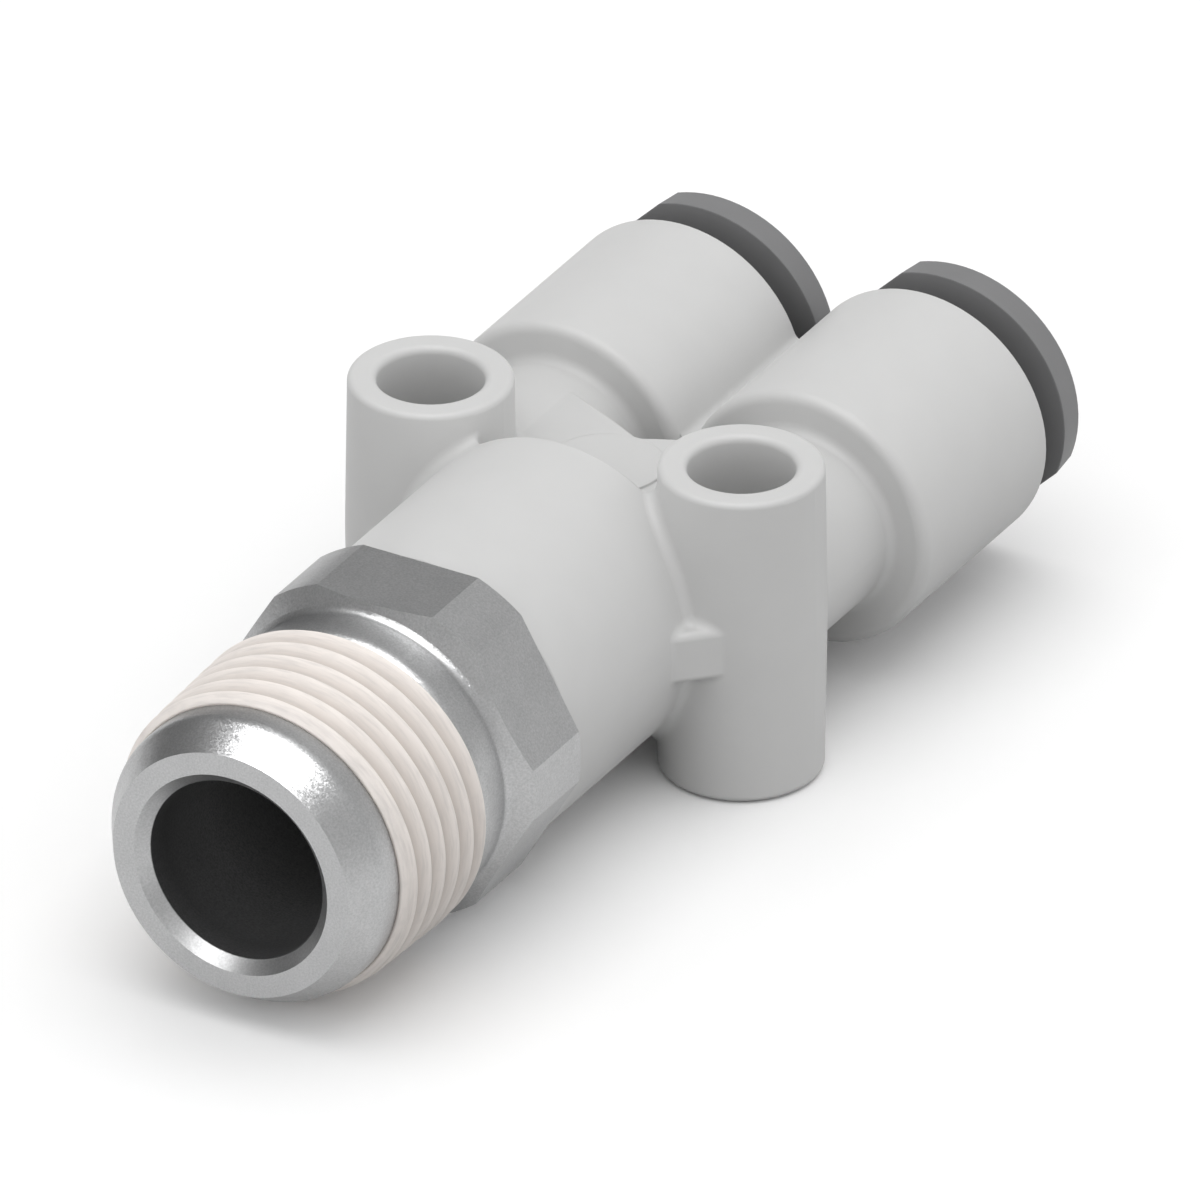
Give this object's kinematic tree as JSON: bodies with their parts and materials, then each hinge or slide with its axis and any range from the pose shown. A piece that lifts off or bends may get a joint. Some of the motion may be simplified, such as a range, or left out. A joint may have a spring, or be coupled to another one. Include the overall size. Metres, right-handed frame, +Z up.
{
  "type": "tubing y connector",
  "caption": "Push-in Y fitting: a male taper thread stud with hexagon feeds two parallel tube ports with release buttons; side bosses with screw holes.",
  "frame": {"origin": "centre of the stud's front face, on the thread axis", "axes": "+Y from the thread's nose towards the tube ports, +X towards the right port, +Z up along the boss holes"},
  "size_m": [0.0278, 0.0602, 0.017],
  "materials": {
    "body": "white moulded resin, fine satin texture",
    "plated_metal": "nickel plate on turned brass, satin with fine sparkle",
    "sealant": "matt baked-on thread sealant, warm off-white",
    "seal_rubber": "black nitrile rubber, semi-matt",
    "collet_resin": "light grey resin",
    "spring_steel": "stainless spring strip, bright",
    "guide_resin": "white resin",
    "button": "mid grey moulded resin, satin"
  },
  "bodies": {
    "housing": {"body": "body", "tube_seal_left": "seal_rubber", "collet_left": "collet_resin", "chuck_left": "spring_steel", "guide_ring_left": "guide_resin", "tube_seal_right": "seal_rubber", "collet_right": "collet_resin", "chuck_right": "spring_steel", "guide_ring_right": "guide_resin"},
    "stud": {"stud": "plated_metal", "thread_sealant": "sealant", "stud_o_ring": "seal_rubber"},
    "button_left": {"release_button_left": "button"},
    "button_right": {"release_button_right": "button"}
  },
  "joints": [
    {"name": "stud_swivel", "type": "hinge", "parent": "housing", "child": "stud", "pos_m": [0, 0.025, 0], "axis": [0, 1, 0], "continuous": true},
    {"name": "release_left", "type": "slide", "parent": "housing", "child": "button_left", "axis": [0, -1, 0], "range_m": [0, 0.0015], "stiffness_N_per_m": 300},
    {"name": "release_right", "type": "slide", "parent": "housing", "child": "button_right", "axis": [0, -1, 0], "range_m": [0, 0.0015], "stiffness_N_per_m": 300}
  ]
}
